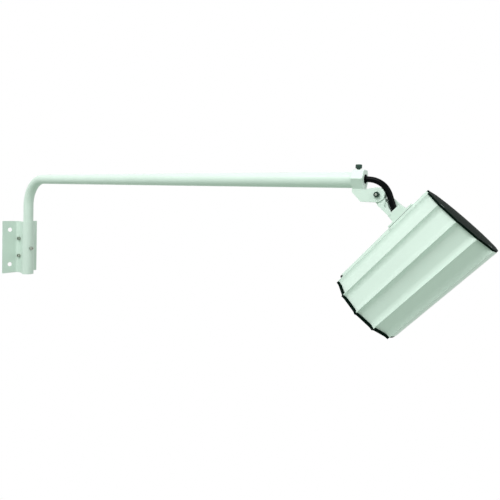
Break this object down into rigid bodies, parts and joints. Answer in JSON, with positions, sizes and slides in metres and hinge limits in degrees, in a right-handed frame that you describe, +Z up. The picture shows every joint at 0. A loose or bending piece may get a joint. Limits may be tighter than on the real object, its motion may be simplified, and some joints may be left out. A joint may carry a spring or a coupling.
{
  "type": "arm spotlight",
  "caption": "Spotlight on a long bent tube arm: wall clamp, hexagonal end collar with pivot ears, and a fluted cylindrical lamp head with black trims.",
  "frame": {"origin": "on the wall plane, at the middle of the clamp's hole pattern", "axes": "+X away from the wall along the arm, +Z up along the clamp, Y across it"},
  "size_m": [1.198, 0.1236, 0.2958],
  "materials": {
    "pale_paint": "satin",
    "pale_alloy": "powder coated",
    "dark_steel": "blackened",
    "bright_steel": "zinc plated",
    "black_plastic": "matte",
    "black_cover": "powder coated",
    "black_rubber": "matte",
    "cable_jacket": "matte",
    "clear_glass": "clear",
    "bright_reflector": "anodised",
    "bare_aluminium": "machined",
    "board_white": "matte",
    "phosphor": "satin",
    "zinc_sheet": "zinc plated",
    "driver_case": "matte",
    "block_plastic": "matte"
  },
  "bodies": {
    "clamp": {"clamp_bracket": "pale_paint", "pinch_screws": "bright_steel", "pinch_washers": "bright_steel", "pinch_nuts": "bright_steel", "barrel_set_screw": "bright_steel"},
    "arm": {"arm_tube": "pale_paint", "end_grommet": "black_rubber", "inlet_connector": "black_plastic", "arm_cable": "cable_jacket"},
    "collar": {"hex_collar": "pale_alloy", "collar_screw": "dark_steel", "collar_grommet": "black_rubber", "pivot_bolt": "dark_steel", "pivot_washer": "dark_steel", "pivot_nut": "dark_steel", "loop_cable": "cable_jacket"},
    "head": {"neck_bracket": "pale_alloy", "neck_gasket": "black_rubber", "boss_grommet": "black_rubber", "neck_screws": "bright_steel", "housing": "pale_alloy", "rear_cap": "black_cover", "rear_gasket": "black_rubber", "rear_cap_screws": "dark_steel", "front_bezel": "black_cover", "bezel_screws": "dark_steel", "front_glass": "clear_glass", "glass_gasket": "black_rubber", "reflector": "bright_reflector", "led_board": "board_white", "led_emitter": "phosphor", "heat_spreader": "bare_aluminium", "gear_tray": "zinc_sheet", "driver": "driver_case", "driver_screws": "bright_steel", "terminal_block": "block_plastic", "head_cable": "cable_jacket"}
  },
  "joints": [
    {"name": "arm_swivel", "type": "hinge", "parent": "clamp", "child": "arm", "pos_m": [0.046, 0, 0], "axis": [0, 0, 1], "range_deg": [-80, 80]},
    {"name": "collar_roll", "type": "hinge", "parent": "arm", "child": "collar", "pos_m": [1.012, 0, 0.197], "axis": [1, 0, 0], "range_deg": [-60, 60]},
    {"name": "head_tilt", "type": "hinge", "parent": "collar", "child": "head", "pos_m": [1.0388, 0, 0.1748], "axis": [0, 1, 0], "range_deg": [-40, 40], "deforming": ["loop_cable"]}
  ]
}
